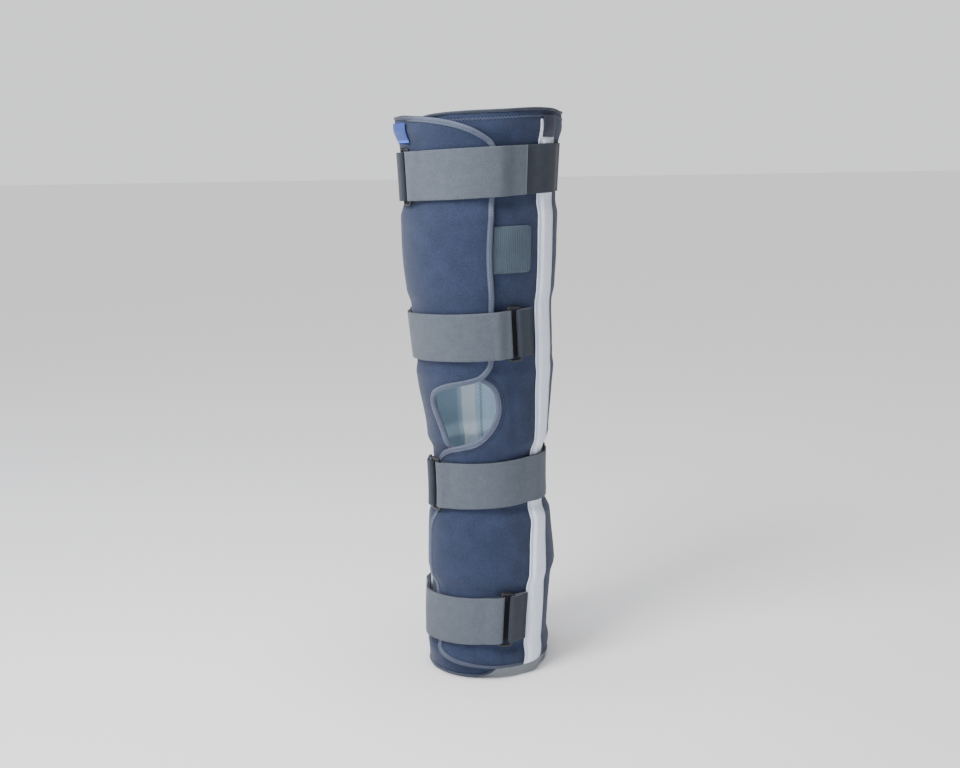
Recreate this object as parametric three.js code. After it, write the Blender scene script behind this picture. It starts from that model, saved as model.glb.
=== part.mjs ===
// A knee immobilizer: a padded wrap for the whole leg with four webbing straps, standing on its lower hem.
// Millimetres, +Z up. The knee opening faces -Y and the side stays lie near +X and -X.
// Places on the leg are given by an angle in degrees, 0 at the front and +90 at +X, and by a height.
// The wrap runs on past 360 degrees where its left end lies over its right end, or under it.
import * as THREE from "three";

// Driving dimensions
const totalLength = 600;
const topWidth = 177; // across the wrap at its upper hem
const depthRatio = 1.08; // front to back against side to side
const padThickness = 5; // foam laminate
const padSwell = 1.2; // how far the pad stands out between two straps
const layerGap = 1.2; // between two layers of the wrap
const tapeWidth = 6; // edge binding, across its face
const tapeProud = 0.4; // how far the binding stands above the pad
const seamGap = 0.3; // between pieces that touch
const strapWidth = 50;
const strapThickness = 1.5;
const strapSlant = 3.3; // rise of a strap from its middle to its right side
const barWidth = 3.2; // ring bar, across
const barDepth = 2.4; // ring bar, front to back
const ringPitch = 13; // between the middles of a ring's two long bars
const ringEase = 1.5; // between a strap's edge and the ring's short bars
const ringCorner = 3; // outer corner radius
const wrapGap = 0.75; // between a bar and the webbing folded round it
const pocketWidth = 22; // white stay pocket, its crowned part
const fringeWidth = 4; // flat sewn edge along the pocket's front side
const pocketCrown = 3.5;
const pocketEdge = 1.5;
const pocketSlope = 8; // beside the pocket, where a strap comes down to the pad
const pocketTop = totalLength - 30; // height of the crowned part's upper end
const fringeTop = totalLength - 12;
const pocketBottom = 9;
const capThickness = 2.4; // dark flap over the pocket's upper end
const capTop = totalLength - 8;
const channelWidth = 20; // inner stay channel
const channelCrown = 3;
const channelEdge = 0.8;
const channelMargin = 22; // from the hem to the channel's end
const patchThickness = 1.4;
const patchHeight = 48;
const patchLow = totalLength * 0.763 - patchHeight / 2;
const patchEnd = 62.5; // degrees
const patchCorner = 5;
const labelThickness = 0.7;
const labelHeight = 20;
const labelLow = totalLength - 33;
const labelStart = 297; // degrees
const labelEnd = 331;
const labelLift = 1.6; // the label's free end stands off the pad

// Derived sizes
const layerStep = padThickness + layerGap;
const overGap = tapeProud + seamGap; // under whatever lies on the pad or on its binding
const tapeInset = tapeWidth / 2;
const padInset = tapeWidth + seamGap;
const foldRadius = barDepth / 2 + wrapGap + strapThickness / 2;
const pocketRise = overGap + pocketCrown;
const wrapTurn = 430; // degrees from one end of the wrap to the other

// The wrap's sections: height as a share of the length, the rest as shares of half the top width.
const sections = [
  // height, halfWidth, centreX, centreY
  [0.0, 0.738, 0.012, -0.079],
  [0.083, 0.765, 0.022, -0.034],
  [0.167, 0.775, 0.03, 0.04],
  [0.25, 0.748, 0.012, 0.062],
  [0.333, 0.718, 0.012, 0.056],
  [0.417, 0.734, 0.012, 0.056],
  [0.5, 0.775, 0.022, 0.047],
  [0.583, 0.823, 0.038, -0.007],
  [0.667, 0.845, 0.03, -0.046],
  [0.75, 0.89, 0.022, -0.046],
  [0.833, 0.907, 0.022, -0.024],
  [0.917, 0.936, 0.022, -0.002],
  [1.0, 0.975, 0.022, 0.01],
];

// The wrap's right end, as the free edge of its binding: height share, angle.
const rightEdge = [
  [0.04, -28],
  [0.083, -31],
  [0.15, -34],
  [0.195, -39.5],
  [0.25, -40],
  [0.29, -35],
  [0.34, -33],
  [0.373, -32],
  [0.39, -29.5],
  [0.402, -24],
  [0.413, -12],
  [0.42, 1],
  [0.428, 14],
  [0.445, 23],
  [0.465, 29.5],
  [0.488, 32],
  [0.508, 30.5],
  [0.523, 27],
  [0.532, 20.5],
  [0.543, 8],
  [0.552, -10],
  [0.56, -26],
  [0.575, -37],
  [0.6, -40],
  [0.933, -40],
  [0.967, -38],
  [0.983, -34],
];

// The wrap's left end: height share, angle, past one full turn.
const leftEdge = [
  [0.013, 394],
  [0.025, 395.5],
  [0.15, 393],
  [0.32, 386],
  [0.347, 384],
  [0.373, 377],
  [0.395, 363],
  [0.41, 349],
  [0.425, 344],
  [0.445, 340],
  [0.467, 336.5],
  [0.488, 334],
  [0.503, 335.5],
  [0.515, 343.5],
  [0.523, 353],
  [0.53, 368],
  [0.538, 380],
  [0.55, 386],
  [0.565, 390],
  [0.67, 393],
  [0.745, 392],
  [0.848, 394],
  [0.9, 396],
  [0.925, 396],
  [0.938, 395],
  [0.952, 390],
];

// Upper and lower hems: angle, height share of the free edge.
const topHem = [
  [-40, 0.978],
  [-9, 0.992],
  [10, 0.995],
  [38, 0.997],
  [68, 1.0],
  [87, 0.999],
  [98, 0.995],
  [180, 0.995],
  [280, 0.995],
  [300, 0.991],
  [342, 0.988],
  [356, 0.984],
  [366, 0.979],
  [376, 0.971],
  [384, 0.961],
  [390, 0.951],
];
const bottomHem = [
  [-28, 0.04],
  [-20, 0.03],
  [-8, 0.022],
  [8, 0.018],
  [20, 0.016],
  [40, 0.014],
  [60, 0.012],
  [86, 0.01],
  [120, 0.003],
  [150, -0.005],
  [370, -0.005],
  [380, -0.002],
  [388, 0.004],
  [394, 0.013],
];
const cornerAngles = { lowRight: -28, lowLeft: 394, highRight: -36, highLeft: 390 };

// Where one end of the wrap climbs over the other, in degrees, and the heights where they change places.
const thighClimb = [284, 316];
const calfClimb = [35, 100];
const swapHeights = [0.428, 0.527];

// White stay pockets: height share, angle of the crowned part's middle on the right side and on the left
const pocketLine = [
  [0.0, 67.5, 84],
  [0.04, 69, 84],
  [0.1, 69.5, 84],
  [0.155, 68, 85],
  [0.227, 71.5, 86],
  [0.29, 76.5, 87],
  [0.39, 81, 87],
  [0.445, 82, 86],
  [0.52, 81, 85],
  [0.685, 80.5, 85],
  [0.773, 80, 85],
  [0.85, 79.5, 85],
  [1.0, 78.5, 84],
];
const pocketAngle = (z, side) => lookUp(pocketLine, z / totalLength, side > 0 ? 1 : 2);

// One row for each strap: middle height share, sewn end, ring's middle, free end and the tab's sewn end, in
// degrees, where the wrap's upper layer lifts it and lets it down, how far it stands off the leg at its far side,
// how far it draws the wrap in, and the share of that which the right stay holds back.
const straps = [
  { name: "thigh_upper", middle: 0.893, sewn: 140, ring: -34.5, end: 58, tabEnd: -67 },
  { name: "thigh_lower", middle: 0.616, sewn: -140, ring: 48, end: -102, tabEnd: 64.5 },
  { name: "calf_upper", middle: 0.347, sewn: 140, ring: -30, end: 104, tabEnd: -60 },
  { name: "calf_lower", middle: 0.104, sewn: -140, ring: 37.3, end: -102, tabEnd: 55 },
];
const strapFits = [
  { rise: [-76, -44], fall: [36.5, 50], standOff: 0, draw: 3.5, held: 0.7 },
  { rise: [-76, -44], fall: [33.2, 42], standOff: 2, draw: 2.5, held: 0.9 },
  { rise: [-66, -40], fall: [35, 100], standOff: 0, draw: 4.5, held: 0.2 },
  { rise: [-66, -40], fall: [35, 100], standOff: 2, draw: 4, held: 0.5 },
];
straps.forEach((strap, i) => Object.assign(strap, strapFits[i]));
const slantAngle = 23; // the angle at which a strap crosses its middle height
const standOffAngle = -67;
const standOffSpread = 20;
const stayAngle = 80;
const staySpread = 32;
// No strap passes the back, so the wrap is not drawn in there
const backRise = [146, 176];
const backFall = [184, 214];

// How finely the surfaces are divided
const wrapColumns = 38;
const tapeSides = 6;
const strapStep = 6.6; // degrees
const foldSteps = 6;
const sparse = 9; // least distance between two rows of a piece that lies on the wrap
const innerAngles = [225, 135]; // middles of the two inner stay channels
const chordSag = (topWidth / 2) * (1 - Math.cos(THREE.MathUtils.degToRad(wrapTurn / wrapColumns / 2)));

// Values between the rows of a table whose first column rises
function lookUp(table, at, column = 1) {
  const last = table.length - 1;
  if (at <= table[0][0]) return table[0][column];
  if (at >= table[last][0]) return table[last][column];
  const i = table.findIndex((row) => row[0] >= at);
  const [a, b] = [table[i - 1], table[i]];
  return a[column] + ((b[column] - a[column]) * (at - a[0])) / (b[0] - a[0]);
}

const blend = (at, [from, to]) => THREE.MathUtils.smoothstep(at, from, to);
const atHeight = (table, z) => lookUp(table, z / totalLength);

// Rows of the wrap: the strap bands, which stay flat, the turns of both ends, and a few between.
const bandMargin = strapSlant + 0.7;
const bands = straps.map(({ middle }) => [
  middle * totalLength - strapWidth / 2 - bandMargin,
  middle * totalLength + strapWidth / 2 + bandMargin,
]);
const hemBands = { low: bands[3][0], high: bands[0][1] };
const kneeRows = [0.347, 0.373, 0.413, 0.434, 0.448, 0.465, 0.487, 0.503, 0.515, 0.524, 0.532, 0.552];
const spareRows = [0.225, 0.735];
const shoulder = hemBands.low / 2; // from a strap band to where the pad has its full height again
const bandRows = bands.flatMap(([low, high]) => [low - shoulder, low, high, high + shoulder]);
const keyRows = [0, totalLength, ...bandRows];
const otherRows = [...kneeRows, ...spareRows].map((share) => share * totalLength);
const rowHeights = [...keyRows, ...otherRows].sort((a, b) => a - b);
// Half width, centre and draw at a row's height: straight under a strap, and swelling between two straps
const bandEdges = bands.flat().sort((a, b) => a - b);
function measuredSection(z) {
  const above = bandEdges.findIndex((limit) => limit > z);
  const [low, high] = [bandEdges[above - 1], bandEdges[above]];
  const inside = above > 0 && z > low;
  const flat = inside && above % 2 === 1;
  const place = inside ? (z - low) / (high - low) : 0;
  const swell = inside && !flat ? padSwell * Math.sin(Math.PI * place) : 0;
  const near = bands.map(([from, to]) => Math.max(1 - Math.max(from - z, z - to, 0) / shoulder, 0));
  const draw = straps.reduce((sum, strap, i) => sum + strap.draw * near[i], 0);
  const held = straps.reduce((sum, strap, i) => sum + strap.draw * strap.held * near[i], 0);
  const [halfWidth, centreX, centreY] = [1, 2, 3].map((column) => {
    const at = (height) => (lookUp(sections, height / totalLength, column) * topWidth) / 2;
    return flat ? THREE.MathUtils.lerp(at(low), at(high), place) : at(z);
  });
  return [z, halfWidth + swell - draw, centreX, centreY, held, draw];
}
const rowSections = rowHeights.map(measuredSection);

// How far a layer of the wrap is lifted by the end that lies under it
function layerRise(u, z) {
  const thigh = blend(u, thighClimb);
  const calf = 1 - blend(u, calfClimb);
  const swap = blend(z / totalLength, swapHeights);
  return layerStep * (swap * thigh + (1 - swap) * calf);
}

// A point near the leg: angle, height, and distance outside the plain section
function legPoint(angle, z, out) {
  const [halfWidth, centreX, centreY, held, draw] = [1, 2, 3, 4, 5].map((c) => lookUp(rowSections, z, c));
  const a = THREE.MathUtils.degToRad(angle);
  const atBack = blend(angle, backRise) * (1 - blend(angle, backFall));
  const reach = out + held * Math.exp(-(((angle - stayAngle) / staySpread) ** 2)) + draw * atBack;
  return new THREE.Vector3(
    centreX + (halfWidth + reach) * Math.sin(a),
    centreY - (halfWidth * depthRatio + reach) * Math.cos(a),
    z,
  );
}
const wrapPoint = (u, z, out) => legPoint(u, z, layerRise(u, z) + out);
const radiusAt = (z) => lookUp(rowSections, z, 1) * (1 + (depthRatio - 1) / 2);
const degrees = (length, z) => THREE.MathUtils.radToDeg(length / radiusAt(z));
const perDegreeAt = (angle, z, out) =>
  legPoint(angle - 0.5, z, out).distanceTo(legPoint(angle + 0.5, z, out));

// Turns a list of faces outwards by the sign of the volume they close
function closedGeometry(points, faces) {
  const volume = faces.reduce((sum, [a, b, c]) => {
    const cross = new THREE.Vector3().crossVectors(points[b], points[c]);
    return sum + points[a].dot(cross);
  }, 0);
  const turned = volume < 0 ? faces.map(([a, b, c]) => [a, c, b]) : faces;
  const geometry = new THREE.BufferGeometry().setFromPoints(points);
  geometry.setIndex(turned.flat());
  geometry.computeVertexNormals();
  return geometry;
}

// A closed slab between two grids of points with the same rows and columns
function slab(outer, inner) {
  const [rows, columns] = [outer.length, outer[0].length];
  const points = [...outer.flat(), ...inner.flat()];
  const at = (side, i, j) => side * rows * columns + i * columns + j;
  const faces = [];
  const quad = (a, b, c, d) => faces.push([a, b, c], [a, c, d]);
  for (let i = 0; i < rows - 1; i++) {
    for (let j = 0; j < columns - 1; j++) {
      quad(at(0, i, j), at(0, i + 1, j), at(0, i + 1, j + 1), at(0, i, j + 1));
      quad(at(1, i, j), at(1, i, j + 1), at(1, i + 1, j + 1), at(1, i + 1, j));
    }
    quad(at(0, i, 0), at(1, i, 0), at(1, i + 1, 0), at(0, i + 1, 0));
    quad(at(0, i, columns - 1), at(0, i + 1, columns - 1), at(1, i + 1, columns - 1), at(1, i, columns - 1));
  }
  for (let j = 0; j < columns - 1; j++) {
    quad(at(0, 0, j), at(0, 0, j + 1), at(1, 0, j + 1), at(1, 0, j));
    quad(at(0, rows - 1, j), at(1, rows - 1, j), at(1, rows - 1, j + 1), at(0, rows - 1, j + 1));
  }
  return closedGeometry(points, faces);
}

// A closed loop of equal sections
function loopSweep(rings) {
  const sides = rings[0].length;
  const faces = rings.flatMap((ring, i) =>
    ring.flatMap((_, k) => {
      const [a, b] = [i * sides, ((i + 1) % rings.length) * sides];
      const next = (k + 1) % sides;
      return [
        [a + k, b + k, b + next],
        [a + k, b + next, a + next],
      ];
    }),
  );
  return closedGeometry(rings.flat(), faces);
}

const colours = {
  pad: { color: 0x3c4c6c, roughness: 0.95 },
  tape: { color: 0x6f7a8f, roughness: 0.85 },
  webbing: { color: 0x6f767e, roughness: 0.9 },
  ring: { color: 0x111214, roughness: 0.35 },
  satin: { color: 0xdfe6fa, roughness: 0.45 },
  patch: { color: 0x5b717b, roughness: 0.8 },
  label: { color: 0x3f63b4, roughness: 0.6 },
  lining: { color: 0xa7bac4, roughness: 0.9 },
};

const immobilizer = new THREE.Group();
immobilizer.name = "knee_immobilizer";

function addPiece(name, geometry, colour, parent = immobilizer) {
  const mesh = new THREE.Mesh(geometry, new THREE.MeshStandardMaterial({ metalness: 0, ...colour }));
  mesh.name = name;
  parent.add(mesh);
  return mesh;
}

// A row's real height at an angle: rows near a hem follow it
function rowHeight(u, row) {
  const z = rowHeights[row];
  if (z < hemBands.low) {
    const hem = lookUp(bottomHem, u) * totalLength;
    return hem + (hemBands.low - hem) * (z / hemBands.low);
  }
  if (z > hemBands.high) {
    const hem = lookUp(topHem, u) * totalLength;
    return hemBands.high + ((hem - hemBands.high) * (z - hemBands.high)) / (totalLength - hemBands.high);
  }
  return z;
}

// The free edge's point on a row, found in a few turns because a row bends with its hem
function edgePoint(table, row, corners) {
  const lastRow = rowHeights.length - 1;
  if (row === 0) return [corners[0], rowHeight(corners[0], row)];
  if (row === lastRow) return [corners[1], rowHeight(corners[1], row)];
  let z = rowHeights[row];
  let u = atHeight(table, z);
  for (let turn = 0; turn < 4; turn++) {
    z = rowHeight(u, row);
    u = atHeight(table, z);
  }
  return [u, z];
}

// The free edge round the wrap: up the right end, along the top, down the left end, back along the bottom
function freeEdge() {
  const rows = rowHeights.map((_, row) => row);
  const { lowRight, lowLeft, highRight, highLeft } = cornerAngles;
  const right = rows.map((row) => edgePoint(rightEdge, row, [lowRight, highRight]));
  const left = rows.map((row) => edgePoint(leftEdge, row, [lowLeft, highLeft]));
  const across = Array.from({ length: wrapColumns + 1 }, (_, k) => k / wrapColumns);
  const hem = (from, to, row) =>
    across.map((s) => THREE.MathUtils.lerp(from, to, s)).map((u) => [u, rowHeight(u, row)]);
  const top = hem(highRight, highLeft, rows.length - 1);
  const bottom = hem(lowRight, lowLeft, 0);
  return { right, left, top, bottom };
}

// Moves each point of a closed line of [angle, height] inwards, square to the line on the unrolled cloth
function insetLine(line, inset) {
  return line.map(([u, z], i) => {
    const before = line[(i + line.length - 1) % line.length];
    const after = line[(i + 1) % line.length];
    const perDegree = THREE.MathUtils.degToRad(radiusAt(z));
    const side = (from, to) => new THREE.Vector2(to[1] - from[1], -(to[0] - from[0]) * perDegree).normalize();
    const inward = side(before, [u, z]).add(side([u, z], after)).normalize();
    return [u + (inward.x * inset) / perDegree, z + inward.y * inset];
  });
}

const edge = freeEdge();
const edgeLoop = [
  ...edge.right.slice(0, -1),
  ...edge.top.slice(0, -1),
  ...[...edge.left].reverse().slice(0, -1),
  ...[...edge.bottom].reverse().slice(0, -1),
];

// The padded wrap: one sheet from its right end round the back to its left end
function makeWrap() {
  const inset = insetLine(edgeLoop, padInset);
  const rows = rowHeights.length;
  const [n, m] = [rows - 1, wrapColumns];
  const right = inset.slice(0, n + 1);
  const top = inset.slice(n, n + m + 1);
  const left = inset.slice(n + m, 2 * n + m + 1).reverse();
  const bottom = [...inset.slice(2 * n + m), inset[0]].reverse();
  const grid = right.map((start, row) => {
    if (row === 0) return bottom;
    if (row === n) return top;
    const finish = left[row];
    return Array.from({ length: m + 1 }, (_, k) => {
      const s = k / m;
      const [low, high] = [bottom[0][0], bottom[m][0]];
      const u =
        THREE.MathUtils.lerp(low, high, s) + (start[0] - low) * (1 - s) ** 3 + (finish[0] - high) * s ** 3;
      const shift = (point, weight) => (point[1] - rowHeight(point[0], row)) * weight;
      return [u, rowHeight(u, row) + shift(start, (1 - s) ** 6) + shift(finish, s ** 6)];
    });
  });
  const face = (out) => grid.map((line) => line.map(([u, z]) => wrapPoint(u, z, out)));
  return slab(face(0), face(-padThickness));
}

// The binding: a six-sided tape section with a flat outer side, all round the wrap's edge
function makeBinding() {
  const flatness = Math.cos(Math.PI / tapeSides);
  const angles = Array.from({ length: tapeSides }, (_, k) => ((k + 0.5) * 2 * Math.PI) / tapeSides);
  const lines = angles.map((a) => insetLine(edgeLoop, tapeInset * (1 - Math.cos(a) / flatness)));
  const rings = edgeLoop.map((_, i) =>
    angles.map((a, k) => {
      const [u, z] = lines[k][i];
      const out = -padThickness / 2 + (padThickness / 2 + tapeProud) * Math.sin(a);
      return wrapPoint(u, z, out);
    }),
  );
  return loopSweep(rings);
}

addPiece("wrap_panel", makeWrap(), colours.pad);
addPiece("edge_binding", makeBinding(), colours.tape);

// Straps, tabs and rings
// How far the wrap's layers lift a strap at an angle
const strapLift = ({ rise, fall }, a) => layerStep * blend(a, rise) * (1 - blend(a, fall));

// How far a stay pocket lifts a strap at an angle
function pocketLift(a, z) {
  const away = Math.abs(Math.abs(a) - pocketAngle(z, a)) / degrees(1, z);
  return pocketRise * (1 - blend(away, [pocketWidth * 0.25, pocketWidth / 2 + fringeWidth + pocketSlope]));
}

const strapRest = (strap, a, z) =>
  overGap +
  strapThickness / 2 +
  strapLift(strap, a) +
  pocketLift(a, z) +
  strap.standOff * Math.exp(-(((a - standOffAngle) / standOffSpread) ** 2));

// Webbing along a path of [angle, distance], as wide as a strap
function webbing(strap, path) {
  const middle = strap.middle * totalLength;
  const rise = (a) => strapSlant * Math.sin(THREE.MathUtils.degToRad(a - slantAngle));
  const face = (side) =>
    path.map(([a, out], i) => {
      const perDegree = perDegreeAt(a, middle, out);
      const before = path[Math.max(i - 1, 0)];
      const after = path[Math.min(i + 1, path.length - 1)];
      const along = new THREE.Vector2((after[0] - before[0]) * perDegree, after[1] - before[1]).normalize();
      const reach = (side * strapThickness) / 2;
      const [angle, distance] = [a - (along.y * reach) / perDegree, out + along.x * reach];
      return [-0.5, 0.5].map((v) => legPoint(angle, middle + rise(a) + v * strapWidth, distance));
    });
  return slab(face(1), face(-1));
}

// Angles from one end to another in equal steps
function angleSteps(from, to) {
  const steps = Math.max(1, Math.round(Math.abs(to - from) / strapStep));
  return Array.from({ length: steps + 1 }, (_, k) => from + ((to - from) * k) / steps);
}

// A path that runs in to a bar, folds round it and runs back out over itself
function foldedPath(strap, start, bar, finish, z) {
  const away = Math.sign(start - bar.angle);
  const perDegree = perDegreeAt(bar.angle, z, bar.out);
  const ease = 14 * away;
  const inward = angleSteps(start, bar.angle + 2 * away).map((a) => [a, strapRest(strap, a, z)]);
  const fold = Array.from({ length: foldSteps + 1 }, (_, k) => {
    const turn = -Math.PI / 2 + (Math.PI * k) / foldSteps;
    const side = (-away * foldRadius * Math.cos(turn)) / perDegree;
    return [bar.angle + side, bar.out + foldRadius * Math.sin(turn)];
  });
  const second = (a) => {
    const settled = strapRest(strap, a, z) + strapThickness + seamGap;
    const near = 1 - blend(Math.abs(a - bar.angle), [2, Math.abs(ease)]);
    return [a, settled + (2 * foldRadius - strapThickness - seamGap) * near];
  };
  const short = Math.abs(finish - bar.angle) < Math.abs(ease);
  const outward = angleSteps(bar.angle + 2 * away, finish).map((a) => {
    if (!short) return second(a);
    const share = Math.abs((a - bar.angle) / (finish - bar.angle));
    const height = THREE.MathUtils.lerp(2 * foldRadius, strapThickness + seamGap, blend(share, [0.1, 1]));
    return [a, strapRest(strap, a, z) + height];
  });
  return [...inward, ...fold, ...outward];
}

// The two long bars of a strap's ring, the strap's own first
function ringBars(strap, z) {
  const perDegree = perDegreeAt(strap.ring, z, strapRest(strap, strap.ring, z) + foldRadius);
  const half = (ringPitch / 2 / perDegree) * Math.sign(strap.ring - strap.sewn);
  return [strap.ring - half, strap.ring + half].map((angle) => ({
    angle,
    out: strapRest(strap, angle, z) + foldRadius,
  }));
}

function roundedBox(width, height, corner) {
  const [x, y] = [width / 2, height / 2];
  const shape = new THREE.Shape();
  shape.moveTo(-x + corner, -y);
  shape.lineTo(x - corner, -y);
  shape.absarc(x - corner, -y + corner, corner, -Math.PI / 2, 0);
  shape.lineTo(x, y - corner);
  shape.absarc(x - corner, y - corner, corner, 0, Math.PI / 2);
  shape.lineTo(-x + corner, y);
  shape.absarc(-x + corner, y - corner, corner, Math.PI / 2, Math.PI);
  shape.lineTo(-x, -y + corner);
  shape.absarc(-x + corner, -y + corner, corner, Math.PI, Math.PI * 1.5);
  return shape;
}

function makeRing() {
  const bevel = barDepth * 0.3;
  const long = strapWidth + 2 * ringEase;
  const outer = roundedBox(
    ringPitch + barWidth - 2 * bevel,
    long + 2 * barWidth - 2 * bevel,
    ringCorner - bevel * 0.5,
  );
  outer.holes.push(roundedBox(ringPitch - barWidth + 2 * bevel, long + 2 * bevel, bevel * 1.5));
  const geometry = new THREE.ExtrudeGeometry(outer, {
    depth: barDepth - 2 * bevel,
    bevelThickness: bevel,
    bevelSize: bevel,
    bevelSegments: 1,
    curveSegments: 1,
  });
  geometry.translate(0, 0, -barDepth / 2 + bevel);
  return geometry;
}

function addStrap(strap) {
  const z = strap.middle * totalLength;
  const [nearBar, farBar] = ringBars(strap, z);
  const slant = strapSlant * Math.sin(THREE.MathUtils.degToRad(strap.ring - slantAngle));
  const [near, far] = [nearBar, farBar].map(({ angle, out }) => legPoint(angle, z + slant, out));
  const foot = legPoint(strap.ring, z + slant - strapWidth / 2, farBar.out);
  const head = legPoint(strap.ring, z + slant + strapWidth / 2, farBar.out);
  const up = head.sub(foot).normalize();
  const outward = far.clone().sub(near).cross(up).normalize();
  const across = up.clone().cross(outward);

  const path = foldedPath(strap, strap.sewn, nearBar, strap.end, z);
  addPiece(strap.name + "_strap", webbing(strap, path), colours.webbing);
  const tabPath = foldedPath({ ...strap, standOff: 0 }, strap.tabEnd, farBar, strap.tabEnd, z);
  addPiece(strap.name + "_tab", webbing(strap, tabPath), colours.webbing);
  const ring = addPiece(strap.name + "_ring", makeRing(), colours.ring);
  ring.position.copy(near.add(far).multiplyScalar(0.5));
  ring.quaternion.setFromRotationMatrix(new THREE.Matrix4().makeBasis(across, up, outward));
}
straps.forEach(addStrap);

// A strip on the wrap or under it: rows of heights, columns of distances across, a thickness at each column
function strip(heights, middle, columns, base, facing) {
  const face = (raised) =>
    heights.map((z) =>
      columns.map(({ across, thickness, top, bottom }) => {
        const height = Math.min(Math.max(z, bottom ?? z), top ?? z);
        const u = middle(height) + degrees(across, height);
        return wrapPoint(u, height, facing * (base + (raised ? thickness : 0)));
      }),
    );
  return slab(face(true), face(false));
}

// A crowned section: columns across a width, thin at its edges
function crownColumns(width, edgeThickness, crown, count, shift = 0) {
  return Array.from({ length: count + 1 }, (_, k) => {
    const v = (2 * k) / count - 1;
    const thickness = edgeThickness + (crown - edgeThickness) * (1 - v * v);
    return { across: shift + (v * width) / 2, thickness };
  });
}

// The wrap's own rows between two heights: all the bends, and others where they don't lie close together
function rowsBetween(low, high) {
  const kept = [low, high, ...keyRows.filter((z) => z > low && z < high)];
  for (const z of rowHeights) {
    if (z > low && z < high && kept.every((other) => Math.abs(other - z) > sparse)) kept.push(z);
  }
  return kept.sort((a, b) => a - b);
}

// A white stay pocket with its flat sewn edge in front, and the dark flap over its upper end
function addPocket(side, name) {
  const middle = (z) => (side > 0 ? 0 : 360) + side * pocketAngle(z, side);
  const crowned = crownColumns(pocketWidth, pocketEdge, pocketCrown, 4).map((column) => ({
    ...column,
    top: pocketTop,
  }));
  const inner = -pocketWidth / 2 - 0.4;
  const fringe = [
    { across: inner - fringeWidth, thickness: pocketEdge * 0.7 },
    { across: inner, thickness: pocketEdge * 0.7 },
  ];
  const columns = [...fringe, ...crowned].map((column) => ({ ...column, across: column.across * side }));
  const heights = rowsBetween(pocketBottom, fringeTop);
  addPiece(name + "_stay_pocket", strip(heights, middle, columns, overGap, 1), colours.satin);

  const cap = [pocketTop + seamGap, (pocketTop + capTop) / 2, capTop];
  const capColumns = crownColumns(pocketWidth, capThickness * 0.6, capThickness, 4);
  addPiece(name + "_pocket_flap", strip(cap, middle, capColumns, overGap, 1), colours.pad);
}
addPocket(1, "right");
addPocket(-1, "left");

// The stay channels sewn to the lining at the back
innerAngles.forEach((angle, i) => {
  const heights = rowsBetween(channelMargin, totalLength - channelMargin);
  const columns = crownColumns(channelWidth, channelEdge, channelCrown, 2);
  const side = i === 0 ? "left" : "right";
  const geometry = strip(heights, () => angle, columns, padThickness + seamGap + chordSag, -1);
  addPiece(side + "_inner_channel", geometry, colours.lining);
});

// The ribbed grip patch on the wrap's right end, from beside the left end's edge
function makePatch() {
  const steps = [0, 0.15, 1].map((share) => share * patchCorner);
  const heights = [
    ...steps.map((rise) => patchLow + rise),
    ...rowHeights.filter((z) => Math.abs(z - patchLow - patchHeight / 2) < patchHeight / 2 - patchCorner - 1),
    ...steps.map((rise) => patchLow + patchHeight - rise).reverse(),
  ];
  const reach = (z) => {
    const fromEnd = Math.min(z - patchLow, patchLow + patchHeight - z);
    const sink = Math.max(patchCorner - fromEnd, 0);
    return patchEnd - degrees(patchCorner - Math.sqrt(patchCorner ** 2 - sink ** 2), z);
  };
  const start = (z) => atHeight(leftEdge, z) - 360 + degrees(overGap, z);
  const face = (out) =>
    heights.map((z) =>
      [0, 0.25, 0.5, 0.75, 1].map((s) => wrapPoint(THREE.MathUtils.lerp(start(z), reach(z), s), z, out)),
    );
  return slab(face(overGap + patchThickness), face(overGap));
}
addPiece("grip_patch", makePatch(), colours.patch);

// The blank woven label at the upper left, lifting off at its free end
function makeLabel() {
  const columns = Array.from({ length: 7 }, (_, k) => k / 6);
  const face = (out) =>
    rowsBetween(labelLow, labelLow + labelHeight).map((z) =>
      columns.map((s) => {
        const u = THREE.MathUtils.lerp(labelStart, labelEnd, s);
        return wrapPoint(u, z, out + seamGap + labelLift * blend(s, [0.7, 1]));
      }),
    );
  return slab(face(labelThickness), face(0));
}
addPiece("side_label", makeLabel(), colours.label);

// The origin stands under the middle of the whole object, on the surface that it rests on.
const box = new THREE.Box3().setFromObject(immobilizer, true);
const centre = box.getCenter(new THREE.Vector3());
immobilizer.position.set(-centre.x, -centre.y, -box.min.z);

export default immobilizer;
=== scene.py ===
import bpy
import numpy as np
from mathutils import Matrix, Vector


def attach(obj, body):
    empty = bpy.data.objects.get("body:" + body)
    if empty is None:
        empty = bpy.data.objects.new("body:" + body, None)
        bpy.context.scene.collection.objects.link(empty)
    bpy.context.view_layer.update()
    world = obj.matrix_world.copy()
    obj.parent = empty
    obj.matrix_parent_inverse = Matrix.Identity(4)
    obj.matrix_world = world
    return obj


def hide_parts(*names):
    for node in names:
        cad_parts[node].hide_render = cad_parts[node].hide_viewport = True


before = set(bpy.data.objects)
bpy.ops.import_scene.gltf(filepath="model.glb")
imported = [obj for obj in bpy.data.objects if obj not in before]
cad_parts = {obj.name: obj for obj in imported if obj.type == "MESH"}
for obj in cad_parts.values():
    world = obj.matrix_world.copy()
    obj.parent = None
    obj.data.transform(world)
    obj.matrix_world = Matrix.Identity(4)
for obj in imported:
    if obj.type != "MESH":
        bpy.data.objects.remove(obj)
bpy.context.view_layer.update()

# Lengths are in mm from here on; the leg's own axis stands legShift away from the frame's origin.
legShift = np.array([-1.788, 2.112, 3.0])

camera = {
    "azimuth": 23.0, "distance": 1400.0, "height": 552.0, "aimHeight": 306.0, "aimSide": -4.5, "roll": -1.3,
    "lens": 48.6, "sensor": 36.0,
}


def unit(v):
    return v / np.linalg.norm(v, axis=-1, keepdims=True)


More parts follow.
